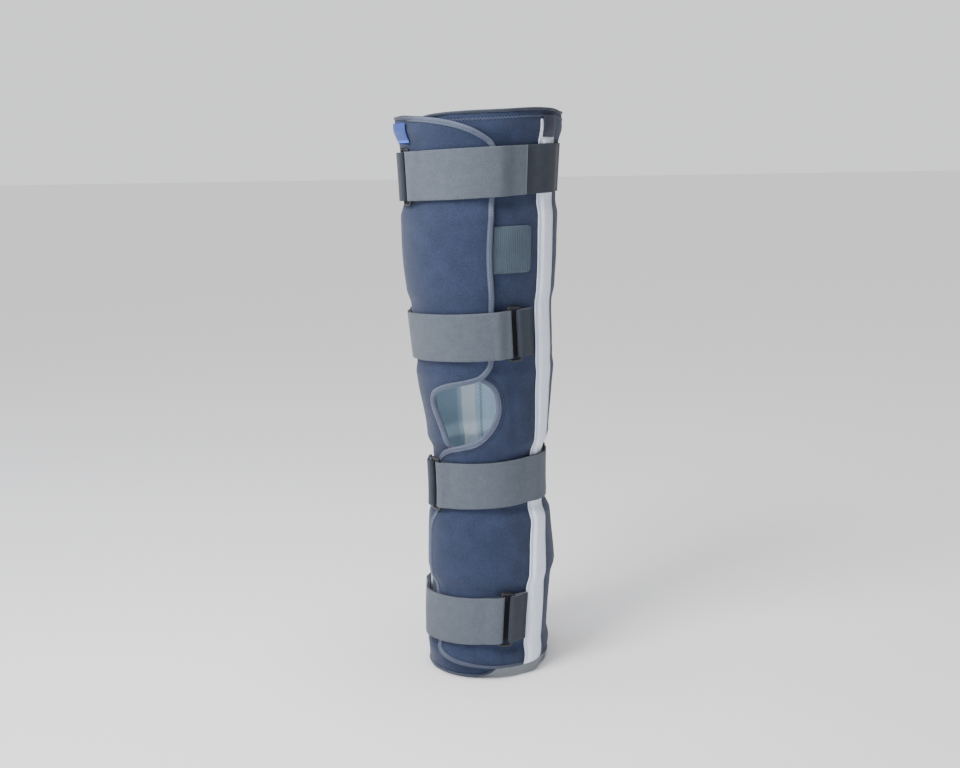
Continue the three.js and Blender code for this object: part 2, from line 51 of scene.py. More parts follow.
def makeCamera(c):
    # the eye stands at azimuth and distance from the leg's axis, aims aimSide beside it, then rolls
    a = np.radians(c["azimuth"])
    eye = np.array([np.sin(a) * c["distance"], -np.cos(a) * c["distance"], c["height"]])
    side = np.array([np.cos(a), np.sin(a), 0.0])
    forward = unit(side * c["aimSide"] + [0, 0, c["aimHeight"]] - eye)
    right = unit(np.cross(forward, [0.0, 0.0, 1.0]))
    up = np.cross(right, forward)
    r = np.radians(c["roll"])
    right, up = right * np.cos(r) + up * np.sin(r), up * np.cos(r) - right * np.sin(r)
    data = bpy.data.cameras.new("camera")
    data.lens, data.sensor_width, data.sensor_fit = c["lens"], c["sensor"], "HORIZONTAL"
    data.clip_start, data.clip_end = 0.05, 50.0
    ob = bpy.data.objects.new("camera", data)
    bpy.context.scene.collection.objects.link(ob)
    turn = Matrix([list(v) for v in (right, up, -forward)]).transposed()
    ob.matrix_world = Matrix.Translation(Vector((eye + legShift) / 1000)) @ turn.to_4x4()
    bpy.context.scene.camera = ob


makeCamera(camera)
print("camera done")

# The leg and the padded cloth round it
leg = {
    "length": 600.0, "topWidth": 177.0, "depthRatio": 1.08, "pad": 5.0, "gap": 1.2, "shoulder": 16.7,
    "swell": 1.2, "swellShare": 0.8, "hemFade": 30.0,
}
# height share, half width, centre x and centre y as shares of half the top width
sections = np.array([
    [0.0, 0.738, 0.012, -0.079],
    [0.083, 0.765, 0.022, -0.034],
    [0.167, 0.775, 0.03, 0.04],
    [0.25, 0.748, 0.012, 0.062],
    [0.333, 0.718, 0.012, 0.056],
    [0.417, 0.734, 0.012, 0.056],
    [0.5, 0.775, 0.022, 0.047],
    [0.583, 0.823, 0.038, -0.007],
    [0.667, 0.845, 0.03, -0.046],
    [0.75, 0.89, 0.022, -0.046],
    [0.833, 0.907, 0.022, -0.024],
    [0.917, 0.936, 0.022, -0.002],
    [1.0, 0.975, 0.022, 0.01],
])

# Straps: middle height share, sewn end, ring, free end and tab's end in degrees, and how they fit
strapWidth, strapThickness, slant, slantAngle = 50.0, 1.5, 3.3, 23.0
straps = {
    "thigh_upper": dict(middle=0.893, sewn=140, ring=-34.5, end=58, tabEnd=-67,
        rise=(-76, -44), fall=(36.5, 50), standOff=0, draw=3.5, held=0.7),
    "thigh_lower": dict(middle=0.616, sewn=-140, ring=48, end=-102, tabEnd=64.5,
        rise=(-76, -44), fall=(33.2, 42), standOff=2, draw=2.5, held=0.9),
    "calf_upper": dict(middle=0.347, sewn=140, ring=-30, end=104, tabEnd=-60,
        rise=(-66, -40), fall=(35, 100), standOff=0, draw=4.5, held=0.2),
    "calf_lower": dict(middle=0.104, sewn=-140, ring=37.3, end=-102, tabEnd=55,
        rise=(-66, -40), fall=(35, 100), standOff=2, draw=4, held=0.5),
}
overGap, seamGap = 0.7, 0.3
bandHalf = strapWidth / 2 + slant + overGap
layerStep = leg["pad"] + leg["gap"]
thighClimb, calfClimb, swapHeights = (284, 316), (35, 100), (0.428, 0.527)  # where the end on top climbs over
stayAngle, staySpread = 80, 32  # the right stay holds part of the draw back round here
backRise, backFall = (146, 176), (184, 214)  # the back between these isn't drawn in


def blend(x, span):
    # smooth step from 0 to 1 across the span
    t = np.clip((np.asarray(x, float) - span[0]) / (span[1] - span[0]), 0, 1)
    return t * t * (3 - 2 * t)


def curveThrough(table, x, column=1):
    # cubic through a table's rows, with slopes limited so that it never overshoots a row
    table = np.asarray(table, float)
    tx, ty = table[:, 0], table[:, column]
    h, d = np.diff(tx), np.diff(ty) / np.diff(tx)
    same = d[1:] * d[:-1] > 0
    safe = np.where(same, d[1:] * d[:-1], 1.0)
    w1, w2 = 2 * h[1:] + h[:-1], h[1:] + 2 * h[:-1]
    inner = np.where(same, (w1 + w2) * safe / np.where(same, w1 * d[1:] + w2 * d[:-1], 1.0), 0.0)
    m = np.concatenate([[d[0]], inner, [d[-1]]])
    x = np.clip(np.asarray(x, float), tx[0], tx[-1])
    i = np.clip(np.searchsorted(tx, x, side="right") - 1, 0, len(h) - 1)
    t = (x - tx[i]) / h[i]
    return (
        (1 + 2 * t) * (1 - t) ** 2 * ty[i] + t * (1 - t) ** 2 * h[i] * m[i]
        + t * t * (3 - 2 * t) * ty[i + 1] + t * t * (t - 1) * h[i] * m[i + 1]
    )


def sectionAt(z):
    # half width, centre, held-back share and draw at height z: drawn in under straps, swelling between
    z = np.asarray(z, float)
    half, cx, cy = [curveThrough(sections, z / leg["length"], c) * leg["topWidth"] / 2 for c in (1, 2, 3)]
    swell, held, draw = leg["swell"] * np.ones_like(z), np.zeros_like(z), np.zeros_like(z)
    for s in straps.values():
        away = np.maximum(np.abs(z - s["middle"] * leg["length"]) - bandHalf, 0)
        near = 1 - blend(away, (0, leg["shoulder"]))
        draw = draw + s["draw"] * near
        held = held + s["draw"] * s["held"] * near
        swell = swell * (1 - near)
    edge = blend(z, (0, leg["hemFade"])) * (1 - blend(z, (leg["length"] - leg["hemFade"], leg["length"])))
    return half - draw + swell * edge * leg["swellShare"], cx, cy, held, draw


def legPoint(a, z, out):
    # x = cx + (half + reach) sin a, y = cy - (half * depthRatio + reach) cos a; the right stay holds part of
    # the draw back, and the back isn't drawn in, as no strap passes it
    half, cx, cy, held, draw = sectionAt(z)
    atBack = blend(a, backRise) * (1 - blend(a, backFall))
    reach = out + held * np.exp(-(((np.asarray(a, float) - stayAngle) / staySpread) ** 2)) + draw * atBack
    a = np.radians(a)
    x = cx + (half + reach) * np.sin(a)
    y = cy - (half * leg["depthRatio"] + reach) * np.cos(a)
    return np.stack(np.broadcast_arrays(x, y, z), axis=-1)


def layerRise(u, z):
    # lift of a layer by the end that lies under it
    swap = blend(np.asarray(z) / leg["length"], swapHeights)
    return layerStep * (swap * blend(u, thighClimb) + (1 - swap) * (1 - blend(u, calfClimb)))


def wrapPoint(u, z, out):
    # a point of the leg lifted by the layers of the wrap under it
    return legPoint(u, z, layerRise(u, z) + out)


def radiusAt(z):
    # mean of the half width and the half depth
    return sectionAt(z)[0] * (1 + (leg["depthRatio"] - 1) / 2)


def degreesFor(length, z):
    return np.degrees(length / radiusAt(z))


def strapMiddle(s, a):
    # height of a strap's middle line at angle a: its level plus a slant, the sine of the angle
    return s["middle"] * leg["length"] + slant * np.sin(np.radians(a - slantAngle))


def noise(x, y, seed):
    # smooth random relief: a sum of sine waves of random direction, length and phase, about -1 to 1
    waves, low, high = 14, 0.5, 2.0
    r = np.random.default_rng(seed)
    turn, size, phase = [r.uniform(*span, waves) for span in ((0, np.pi), (low, high), (0, 2 * np.pi))]
    total = sum(np.sin(x * np.cos(t) * k + y * np.sin(t) * k + p) for t, k, p in zip(turn, size, phase))
    return total / np.sqrt(waves)


# Meshes
def addMesh(name, points, faces, material, replaced=(), uv=None, materialIndex=None):
    # points in mm become a mesh in metres, and faces that enclose a negative volume are turned round
    mesh = bpy.data.meshes.new(name)
    points = (np.asarray(points, float).reshape(-1, 3) + legShift) / 1000
    faces = np.asarray(faces, int)
    a, b, c = points[faces[:, 0]], points[faces[:, 1]], points[faces[:, 2]]
    volume = np.einsum("ij,ij->i", a, np.cross(b, c)).sum()
    if faces.shape[1] == 4:
        volume += np.einsum("ij,ij->i", a, np.cross(c, points[faces[:, 3]])).sum()
    if volume < 0:
        faces = faces[:, ::-1]
    mesh.vertices.add(len(points))
    mesh.vertices.foreach_set("co", points.ravel())
    mesh.loops.add(faces.size)
    mesh.loops.foreach_set("vertex_index", faces.ravel())
    mesh.polygons.add(len(faces))
    mesh.polygons.foreach_set("loop_start", np.arange(len(faces)) * faces.shape[1])
    mesh.polygons.foreach_set("loop_total", np.full(len(faces), faces.shape[1]))
    mesh.polygons.foreach_set("use_smooth", np.full(len(faces), True))
    for m in material if isinstance(material, list) else [material]:
        mesh.materials.append(m)
    if materialIndex is not None:
        mesh.polygons.foreach_set("material_index", np.asarray(materialIndex, int))
    if uv is not None:
        layer = mesh.uv_layers.new(name="cloth")
        layer.data.foreach_set("uv", np.asarray(uv, float).reshape(-1, 2)[faces.ravel()].ravel())
    mesh.update()
    mesh.validate()
    ob = bpy.data.objects.new(name, mesh)
    bpy.context.scene.collection.objects.link(ob)
    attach(ob, "root")
    if replaced:
        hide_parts(*replaced)
    return ob


def addTint(ob, values):
    # one number for each point, which the material multiplies its colour by
    layer = ob.data.attributes.new("tint", "FLOAT", "POINT")
    layer.data.foreach_set("value", np.asarray(values, float).ravel())


def gridFaces(rows, columns, offset=0, closeRows=False, closeColumns=False):
    # a quad for each cell of a grid of points, joined last to first where a direction is closed
    i = np.arange(rows if closeRows else rows - 1)
    j = np.arange(columns if closeColumns else columns - 1)
    i, j = [m.ravel() for m in np.meshgrid(i, j, indexing="ij")]
    i1, j1 = (i + 1) % rows, (j + 1) % columns
    return offset + np.stack([i * columns + j, i1 * columns + j, i1 * columns + j1, i * columns + j1], axis=1)


def slabFaces(rows, columns):
    # outer grid, inner grid turned round, and the four edges between them
    n = rows * columns
    at = lambda side, i, j: side * n + i * columns + j
    outer = gridFaces(rows, columns)
    inner = gridFaces(rows, columns, n)[:, ::-1]
    i, j = np.arange(rows - 1), np.arange(columns - 1)
    q = lambda *corners: np.stack(np.broadcast_arrays(*corners), axis=1)
    return np.concatenate([
        outer, inner,
        q(at(0, i, 0), at(1, i, 0), at(1, i + 1, 0), at(0, i + 1, 0)),
        q(at(0, i, columns - 1), at(0, i + 1, columns - 1), at(1, i + 1, columns - 1), at(1, i, columns - 1)),
        q(at(0, 0, j), at(0, 0, j + 1), at(1, 0, j + 1), at(1, 0, j)),
        q(at(0, rows - 1, j), at(1, rows - 1, j), at(1, rows - 1, j + 1), at(0, rows - 1, j + 1)),
    ])


def tubeFaces(stations, around):
    # sides of a tube, and two ends closed by a strip of quads across each end ring
    sides = gridFaces(stations, around, closeColumns=True)
    k = np.arange(0, around // 2 - 1)

    def cap(base):
        return np.stack([base + k, base + k + 1, base + around - 2 - k, base + (around - 1 - k)], axis=1)

    return np.concatenate([sides, cap(0)[:, ::-1], cap((stations - 1) * around)])


def addSlab(name, u, z, outs, across, material, replaced):
    # one grid of angle and height at two distances out from the wrap, closed round its edges
    points = np.concatenate([wrapPoint(u, z, out).reshape(-1, 3) for out in outs])
    cloth = np.stack([across, z], -1) / 1000
    return addMesh(name, points, slabFaces(*u.shape), material, replaced, np.concatenate([cloth, cloth]))


# Materials
def linear(hexColour):
    c = np.array([int(hexColour[i:i + 2], 16) / 255 for i in (0, 2, 4)])
    c = np.where(c <= 0.04045, c / 12.92, ((c + 0.055) / 1.055) ** 2.4)
    return (*c, 1.0)


def node(tree, kind, settings=None, **links):
    # adds a node, sets its properties, inputs or colour stops, and links its inputs to other outputs
    n = tree.nodes.new(kind)
    for key, value in (settings or {}).items():
        if key == "stops":
            for element, (place, colour) in zip(n.color_ramp.elements, value):
                element.position, element.color = place, colour
        elif isinstance(key, str) and hasattr(n, key):
            setattr(n, key, value)
        else:
            n.inputs[key].default_value = value
    for key, source in links.items():
        socket = int(key[1:]) if key[0] == "i" and key[1:].isdigit() else key.replace("_", " ")
        tree.links.new(n.inputs[socket], source)
    return n


def newMaterial(name):
    m = bpy.data.materials.new(name)
    m.use_nodes = True
    return m, m.node_tree, m.node_tree.nodes["Principled BSDF"]


multiply = {"data_type": "RGBA", "blend_type": "MULTIPLY", 0: 1.0}
# the groove stops paint shade into the grooves between woven ribs
toneSpread, grooveShadeStops = 0.16, ((0.1, (0.76, 0.76, 0.76, 1)), (0.8, (1.1, 1.1, 1.1, 1)))


def clothMaterial(name, dark, light, grain, depth, roughness, sheen,
                  patches=18.0, cloud=0.25, tinted=False, ribs=None):
    # a cloth with fibres of grain mm: fine noise mixes two tones and drives the bump, and wide noise changes
    # the tone slowly
    m, tree, shader = newMaterial(name)
    place = node(tree, "ShaderNodeTexCoord").outputs["Object"]
    fibres = {"Scale": 1000 / grain, "Detail": 3.0, "Roughness": 0.65}
    fine = node(tree, "ShaderNodeTexNoise", fibres, Vector=place).outputs["Fac"]
    clouds = {"Scale": 1000 / patches, "Detail": 2.0}
    wide = node(tree, "ShaderNodeTexNoise", clouds, Vector=place).outputs["Fac"]
    both = node(tree, "ShaderNodeMath", {"operation": "MULTIPLY_ADD", 1: cloud}, i0=wide, i2=fine).outputs[0]
    middle = 0.5 + cloud / 2
    stops = ((middle - toneSpread, linear(dark)), (middle + toneSpread, linear(light)))
    tone = node(tree, "ShaderNodeValToRGB", {"stops": stops}, Fac=both).outputs["Color"]
    height = fine
    if ribs:
        # woven ribs, ribs mm apart across the cloth; the wave repeats every pi / 10 of its scaled length
        cloth = node(tree, "ShaderNodeUVMap", {"uv_map": "cloth"}).outputs["UV"]
        bands = {"bands_direction": "X", "Scale": 1000 * np.pi / 10 / ribs, "Distortion": 0.4}
        wave = node(tree, "ShaderNodeTexWave", bands, Vector=cloth).outputs["Fac"]
        height = node(tree, "ShaderNodeMath", {"operation": "ADD"}, i0=wave, i1=fine).outputs[0]
        # the grooves between the ribs are painted darker: painted shade
        paintedGrooveShade = node(tree, "ShaderNodeValToRGB", {"stops": grooveShadeStops}, Fac=wave).outputs["Color"]
        tone = node(tree, "ShaderNodeMix", multiply, i6=tone, i7=paintedGrooveShade).outputs[2]
    if tinted:
        tint = node(tree, "ShaderNodeAttribute", {"attribute_name": "tint"}).outputs["Fac"]
        tone = node(tree, "ShaderNodeMix", multiply, i6=tone, i7=tint).outputs[2]
    bump = node(tree, "ShaderNodeBump", {"Strength": 0.6, "Distance": depth / 1000}, Height=height)
    tree.links.new(shader.inputs["Base Color"], tone)
    tree.links.new(shader.inputs["Normal"], bump.outputs["Normal"])
    shader.inputs["Roughness"].default_value = roughness
    shader.inputs["Sheen Weight"].default_value = sheen
    shader.inputs["Sheen Roughness"].default_value = 0.5
    return m


# brushed loop knit on foam: matt, with a fine pile that lightens at grazing angles
padMaterial = clothMaterial("loopKnitNavy", "1b253c", "303c5b", 0.9, 0.25, 0.95, 0.12, tinted=True)
# smooth tricot lining: pale blue, nearly flat
liningMaterial = clothMaterial("tricotLining", "c0d8ea", "dceefb", 0.7, 0.08, 0.85, 0.1, tinted=True)
# the channel's tricot, painted paler than the lining: a painted highlight for the light on its crown
paintedLitChannelMaterial = clothMaterial("tricotChannelPaintedLight", "eef4f8", "fafdff", 0.7, 0.08, 0.75, 0.1)
# woven nylon tape, folded over the edge: even, slight sheen
tapeMaterial = clothMaterial("wovenTape", "414a5f", "5a6379", 0.6, 0.12, 0.8, 0.12, tinted=True)
# brushed loop webbing: dull, with short fibres, and a darker smooth back
webbingClouds = {"patches": 9.0, "cloud": 0.15}
webbingMaterial = clothMaterial("loopWebbing", "444a55", "616974", 0.6, 0.2, 0.92, 0.12, **webbingClouds)
webbingBackMaterial = clothMaterial("webbingBack", "20262f", "343b48", 0.6, 0.12, 0.85, 0.1, **webbingClouds)
# polyester satin over the stays: bright, soft broad gloss
satinMaterial = clothMaterial("polyesterSatin", "d6e3ff", "f2f7ff", 0.5, 0.04, 0.4, 0.1)
# ribbed hook tape: woven ribs, with painted shade darkening the grooves between them
patchMaterial = clothMaterial("ribbedHookTape", "35434f", "4b5c6b", 0.6, 0.1, 0.75, 0.1, ribs=2.1)
# folded binding cloth and a woven label: smoother than the pad, so they catch a little gloss
flapMaterial = clothMaterial("foldedNavyCloth", "1c1f33", "2b2f4a", 0.6, 0.12, 0.6, 0.1)
labelMaterial = clothMaterial("wovenLabelBlue", "142f7c", "2548a0", 0.5, 0.06, 0.6, 0.1, tinted=True)
# spun polyester thread: finer than the cloth, with a soft gloss
threadFinish = (0.3, 0.02, 0.5, 0.1)
paleThread = clothMaterial("paleThread", "6f7690", "9097ae", *threadFinish)
hemThread = clothMaterial("hemThread", "565e78", "737b94", *threadFinish)
darkThread = clothMaterial("darkThread", "161b2a", "262c40", *threadFinish)
liningThread = clothMaterial("liningThread", "66798a", "8496a6", *threadFinish)


def mouldedPlastic():
    # injection moulded acetal: black, semi gloss, with a faint orange-peel surface
    m, tree, shader = newMaterial("mouldedAcetal")
    place = node(tree, "ShaderNodeTexCoord").outputs["Object"]
    peel = node(tree, "ShaderNodeTexNoise", {"Scale": 900.0, "Detail": 1.0}, Vector=place)
    bump = node(tree, "ShaderNodeBump", {"Strength": 0.15, "Distance": 0.00005}, Height=peel.outputs["Fac"])
    tree.links.new(shader.inputs["Normal"], bump.outputs["Normal"])
    shader.inputs["Base Color"].default_value = linear("17181b")
    shader.inputs["Roughness"].default_value = 0.28
    shader.inputs["IOR"].default_value = 1.48
    return m


ringMaterial = mouldedPlastic()
print("materials done")

# The free edge of the wrap: height share and angle of both ends, angle and height share of both hems
rightEdge = [
    [0.04, -28], [0.083, -31], [0.15, -34], [0.195, -39.5], [0.25, -40], [0.29, -35], [0.34, -33],
    [0.373, -32], [0.39, -29.5], [0.402, -24], [0.413, -12], [0.42, 1], [0.428, 14], [0.445, 23],
    [0.465, 29.5], [0.488, 32], [0.508, 30.5], [0.523, 27], [0.532, 20.5], [0.543, 8], [0.552, -10],
    [0.56, -26], [0.575, -37], [0.6, -40], [0.933, -40], [0.967, -38], [0.983, -34],
]
leftEdge = [
    [0.013, 394], [0.025, 395.5], [0.15, 393], [0.32, 386], [0.347, 384], [0.373, 377], [0.395, 363],
    [0.41, 349], [0.425, 344], [0.445, 340], [0.467, 336.5], [0.488, 334], [0.503, 335.5], [0.515, 343.5],
    [0.523, 353], [0.53, 368], [0.538, 380], [0.55, 386], [0.565, 390], [0.67, 393], [0.745, 392],
    [0.848, 394], [0.9, 396], [0.925, 396], [0.938, 395], [0.952, 390],
]
topHem = [
    [-40, 0.978], [-9, 0.992], [10, 0.995], [38, 0.997], [68, 1.0], [87, 0.999], [98, 0.995], [180, 0.995],
    [280, 0.995], [300, 0.991], [342, 0.988], [356, 0.984], [366, 0.979], [376, 0.971], [384, 0.961],
    [390, 0.951],
]
bottomHem = [
    [-28, 0.04], [-20, 0.03], [-8, 0.022], [8, 0.018], [20, 0.016], [40, 0.014], [60, 0.012], [86, 0.01],
    [120, 0.003], [150, -0.005], [370, -0.005], [380, -0.002], [388, 0.004], [394, 0.013],
]
# corners between them, once round: angle and height share
lowRight, highRight, highLeft, lowLeft = corners = ((-28, 0.04), (-36, 0.979), (390, 0.951), (394, 0.013))
tape = {
    "width": 6.0, "proud": 0.4, "thickness": 0.55, "step": 1.5, "soften": 2.6, "points": 24, "hemCut": 0.42,
    "topShade": 0.55, "bottomShade": 0.35,
}


def freeLoop(step):
    # up the right end, along the top, down the left end, back along the bottom, evenly spaced and softened
    tall, endPoints, hemPoints = leg["length"], 900, 1500
    rz = lowRight[1] * tall + np.linspace(0, 1, endPoints) * (highRight[1] - lowRight[1]) * tall
    right = np.stack([curveThrough(rightEdge, rz / tall), rz], 1)
    tu = np.linspace(highRight[0], highLeft[0], hemPoints)
    top = np.stack([tu, curveThrough(topHem, tu) * tall], 1)
    lz = np.linspace(highLeft[1], lowLeft[1], endPoints) * tall
    left = np.stack([curveThrough(leftEdge, lz / tall), lz], 1)
    bu = np.linspace(lowLeft[0], lowRight[0], hemPoints)
    bottom = np.stack([bu, curveThrough(bottomHem, bu) * tall], 1)
    loop = np.concatenate([right[:-1], top[:-1], left[:-1], bottom[:-1]])
    for _ in range(2):
        loop = softened(evenly(loop, step), tape["soften"] / step)
    return evenly(loop, step)


def evenly(loop, step):
    # points every step mm along a closed line, measured on the flat cloth
    closed = np.concatenate([loop, loop[:1]])
    mid = (closed[1:, 1] + closed[:-1, 1]) / 2
    du, dz = np.diff(closed[:, 0]) * np.radians(radiusAt(mid)), np.diff(closed[:, 1])
    run = np.concatenate([[0], np.cumsum(np.hypot(du, dz))])
    count = int(round(run[-1] / step))
    s = np.arange(count) * run[-1] / count
    return np.stack([np.interp(s, run, closed[:, 0]), np.interp(s, run, closed[:, 1])], 1)


def softened(loop, sigma):
    # a Gaussian average along a closed line
    reach = int(sigma * 4) + 1
    k = np.exp(-0.5 * (np.arange(-reach, reach + 1) / sigma) ** 2)
    k /= k.sum()
    ring = np.concatenate([loop[-reach:], loop, loop[:reach]])
    return np.stack([np.convolve(ring[:, c], k, mode="valid") for c in (0, 1)], 1)


def insetLoop(loop, inset):
    # moves each point inwards, square to the line on the flat cloth
    per = np.radians(radiusAt(loop[:, 1]))
    ahead = np.roll(loop, -1, 0) - np.roll(loop, 1, 0)
    inward = unit(np.stack([ahead[:, 1], -ahead[:, 0] * per], 1))
    return loop + np.stack([inward[:, 0] * inset / per, inward[:, 1] * inset], 1)


loop = freeLoop(tape["step"])
print("free edge", len(loop), "points")


def edgeDistance(u, z):
    # distance on the flat cloth to the nearest point of the free edge, some points at a time to save memory
    u, z = np.asarray(u, float), np.asarray(z, float)
    per = np.radians(radiusAt(z.ravel()))
    best = np.empty(u.size)
    uu, zz, atOnce = u.ravel(), z.ravel(), 4000
    for start in range(0, uu.size, atOnce):
        part = slice(start, start + atOnce)
        du = (uu[part, None] - loop[None, :, 0]) * per[part, None]
        dz = zz[part, None] - loop[None, :, 1]
        best[part] = np.sqrt((du * du + dz * dz).min(1))
    return best.reshape(u.shape)


# The padded wrap
panel = {
    "rows": 190, "columns": 256, "inset": 1.6, "underTape": 0.62, "radius": 82.0, "perDegree": 1.45,
    "pillow": 0.7, "pillowReach": 11.0, "proud": 0.45, "dent": 0.28, "smallDent": 0.12,
    "pull": 0.45, "pullNoise": 0.3, "crease": 1.3, "innerDent": 0.15,
}
closerRows = [(1.6, 236, 22), (1.9, 326, 22), (0.6, 280, 40)]  # round the knee opening: more, height, spread
ringSlot = {"depth": 0.86, "halfAngle": (4.0, 5.5), "halfHeight": (24, 27), "least": 0.1}
liningDark, liningLight, liningTurn = 0.62, 0.38, (231, 240)


def panelGrid(p):
    # rows between the two free ends; rows near a hem bend with it, columns lean to meet the ends
    tall, perDegree = leg["length"], 1.3
    inset = insetLoop(loop, p["inset"])
    low = straps["calf_lower"]["middle"] * tall - bandHalf
    high = straps["thigh_upper"]["middle"] * tall + bandHalf

    def nearest(u, z):
        return int(np.argmin(((inset[:, 0] - u) * perDegree) ** 2 + (inset[:, 1] - z) ** 2))

    def side(a, b):
        return inset[np.arange(a, b + 1 + (0 if b >= a else len(inset))) % len(inset)]

    def follow(z, hemLow, hemHigh):
        # below the lowest strap and above the highest, rows are spread between the strap and the hem
        lower = hemLow + (low - hemLow) * (z / low)
        upper = high + (hemHigh - high) * (z - high) / (tall - high)
        return np.where(z < low, lower, np.where(z > high, upper, z))

    def byHeight(line, z):
        rising = np.maximum.accumulate(line[:, 1]) + np.arange(len(line)) * 1e-7
        return np.interp(z, rising, line[:, 0])

    at = [nearest(u, share * tall) for u, share in corners]
    right, top = side(at[0], at[1]), side(at[1], at[2])
    left, bottom = side(at[2], at[3])[::-1], side(at[3], at[0])[::-1]
    zs = np.linspace(0, tall, 2000)
    between = (zs[1:] + zs[:-1]) / 2
    bumps = [more * np.exp(-(((between - height) / spread) ** 2)) for more, height, spread in closerRows]
    density = sum(bumps, 1)
    run = np.concatenate([[0], np.cumsum(density)])
    rows = np.interp(np.linspace(0, run[-1], p["rows"]), run, zs)
    zRight, zLeft = follow(rows, right[0, 1], right[-1, 1]), follow(rows, left[0, 1], left[-1, 1])
    uRight, uLeft = byHeight(right, zRight), byHeight(left, zLeft)
    s = np.linspace(0, 1, p["columns"])[None, :]
    uLow, uHigh = bottom[0, 0], bottom[-1, 0]
    u = uLow + (uHigh - uLow) * s
    u = u + (uRight - uLow)[:, None] * (1 - s) ** 3 + (uLeft - uHigh)[:, None] * s ** 3
    hemLow, hemHigh = np.interp(u, bottom[:, 0], bottom[:, 1]), np.interp(u, top[:, 0], top[:, 1])
    z = follow(rows[:, None] * np.ones_like(u), hemLow, hemHigh)
    z = z + (zRight - z[:, 0])[:, None] * (1 - s) ** 6 + (zLeft - z[:, -1])[:, None] * s ** 6
    return u, z


def padRelief(u, z, d, p):
    # pillow towards the tape, slow dents of the foam, soft pulls beside the straps, and a crease by the knee
    x = u * np.radians(p["radius"])
    dents = p["dent"] * noise(x / 30, z / 34, 5) + p["smallDent"] * noise(x / 11, z / 12, 9)
    pulls = np.zeros_like(z)
    for n, s in enumerate(straps.values()):
        away = np.abs(z - strapMiddle(s, u)) - strapWidth / 2
        beside = blend(away, (-1, 3)) * (1 - blend(away, (4, 26)))
        pulls += beside * (p["pull"] + p["pullNoise"] * noise(x / 9, z / 40, 30 + n))
    toTape = d - tape["width"] * tapeShare(u, z)
    pillow = -p["pillow"] * (1 - blend(toTape, (-1, p["pillowReach"])))
    keep = blend(toTape, (0, 12))
    crease = -p["crease"] * np.exp(-(((u - 47 + (z - 300) * 0.05) / 4.5) ** 2))
    crease = crease * blend(z, (238, 262)) * (1 - blend(z, (325, 345)))
    return pillow + (dents + pulls + crease) * keep


def tapeShare(u, z):
    # the tape shows narrower along the hems than on the flaps and round the knee opening
    top = blend(z, (583, 592)) * (1 - blend(u, (318, 345)))
    bottom = 1 - blend(z, (6, 22))
    return 1 - tape["hemCut"] * np.maximum(top, bottom * blend(u, (-20, 30)))


def slotShade(u, z):
    # painted near black in the gap between the two folds at each ring, where the photo shows deep shade
    shade = np.ones_like(z)
    for s in straps.values():
        inHeight = 1 - blend(np.abs(z - strapMiddle(s, u)), ringSlot["halfHeight"])
        for turn in (0, 360):
            inAngle = 1 - blend(np.abs(u - turn - s["ring"]), ringSlot["halfAngle"])
            shade = shade - ringSlot["depth"] * inAngle * inHeight
    return np.clip(shade, ringSlot["least"], 1)


def liningShade(u):
    # painted darker left of the left stay channel, where the photo shows the lining in shade
    return liningDark + liningLight * (1 - blend(u, liningTurn))


def makePanel(p):
    # the outer face is the leg's form plus the pad's relief, the inner face lies one pad deeper
    u, z = panelGrid(p)
    d = edgeDistance(u, z)
    wide = tape["width"] * tapeShare(u, z)
    under = -p["underTape"] * (1 - blend(d - wide, (-0.6, 0.7)))
    outer = wrapPoint(u, z, np.minimum(padRelief(u, z, d, p), p["proud"]) + under)
    lining = -leg["pad"] + p["innerDent"] * noise(u / 7, z / 15, 3) * blend(d, (7, 16))
    inner = wrapPoint(u, z, lining - under)
    rows, columns = u.shape
    faces = slabFaces(rows, columns)
    cells = (rows - 1) * (columns - 1)
    index = np.zeros(len(faces), int)
    index[cells:2 * cells] = 1
    cloth = np.stack([u * p["perDegree"], z], -1) / 1000
    points = np.concatenate([outer.reshape(-1, 3), inner.reshape(-1, 3)])
    ob = addMesh("wrapPanel", points, faces, [padMaterial, liningMaterial], ["wrap_panel"],
                 np.concatenate([cloth, cloth]), index)
    addTint(ob, np.concatenate([slotShade(u, z).ravel(), liningShade(u).ravel()]))


makePanel(panel)
print("wrap panel done")


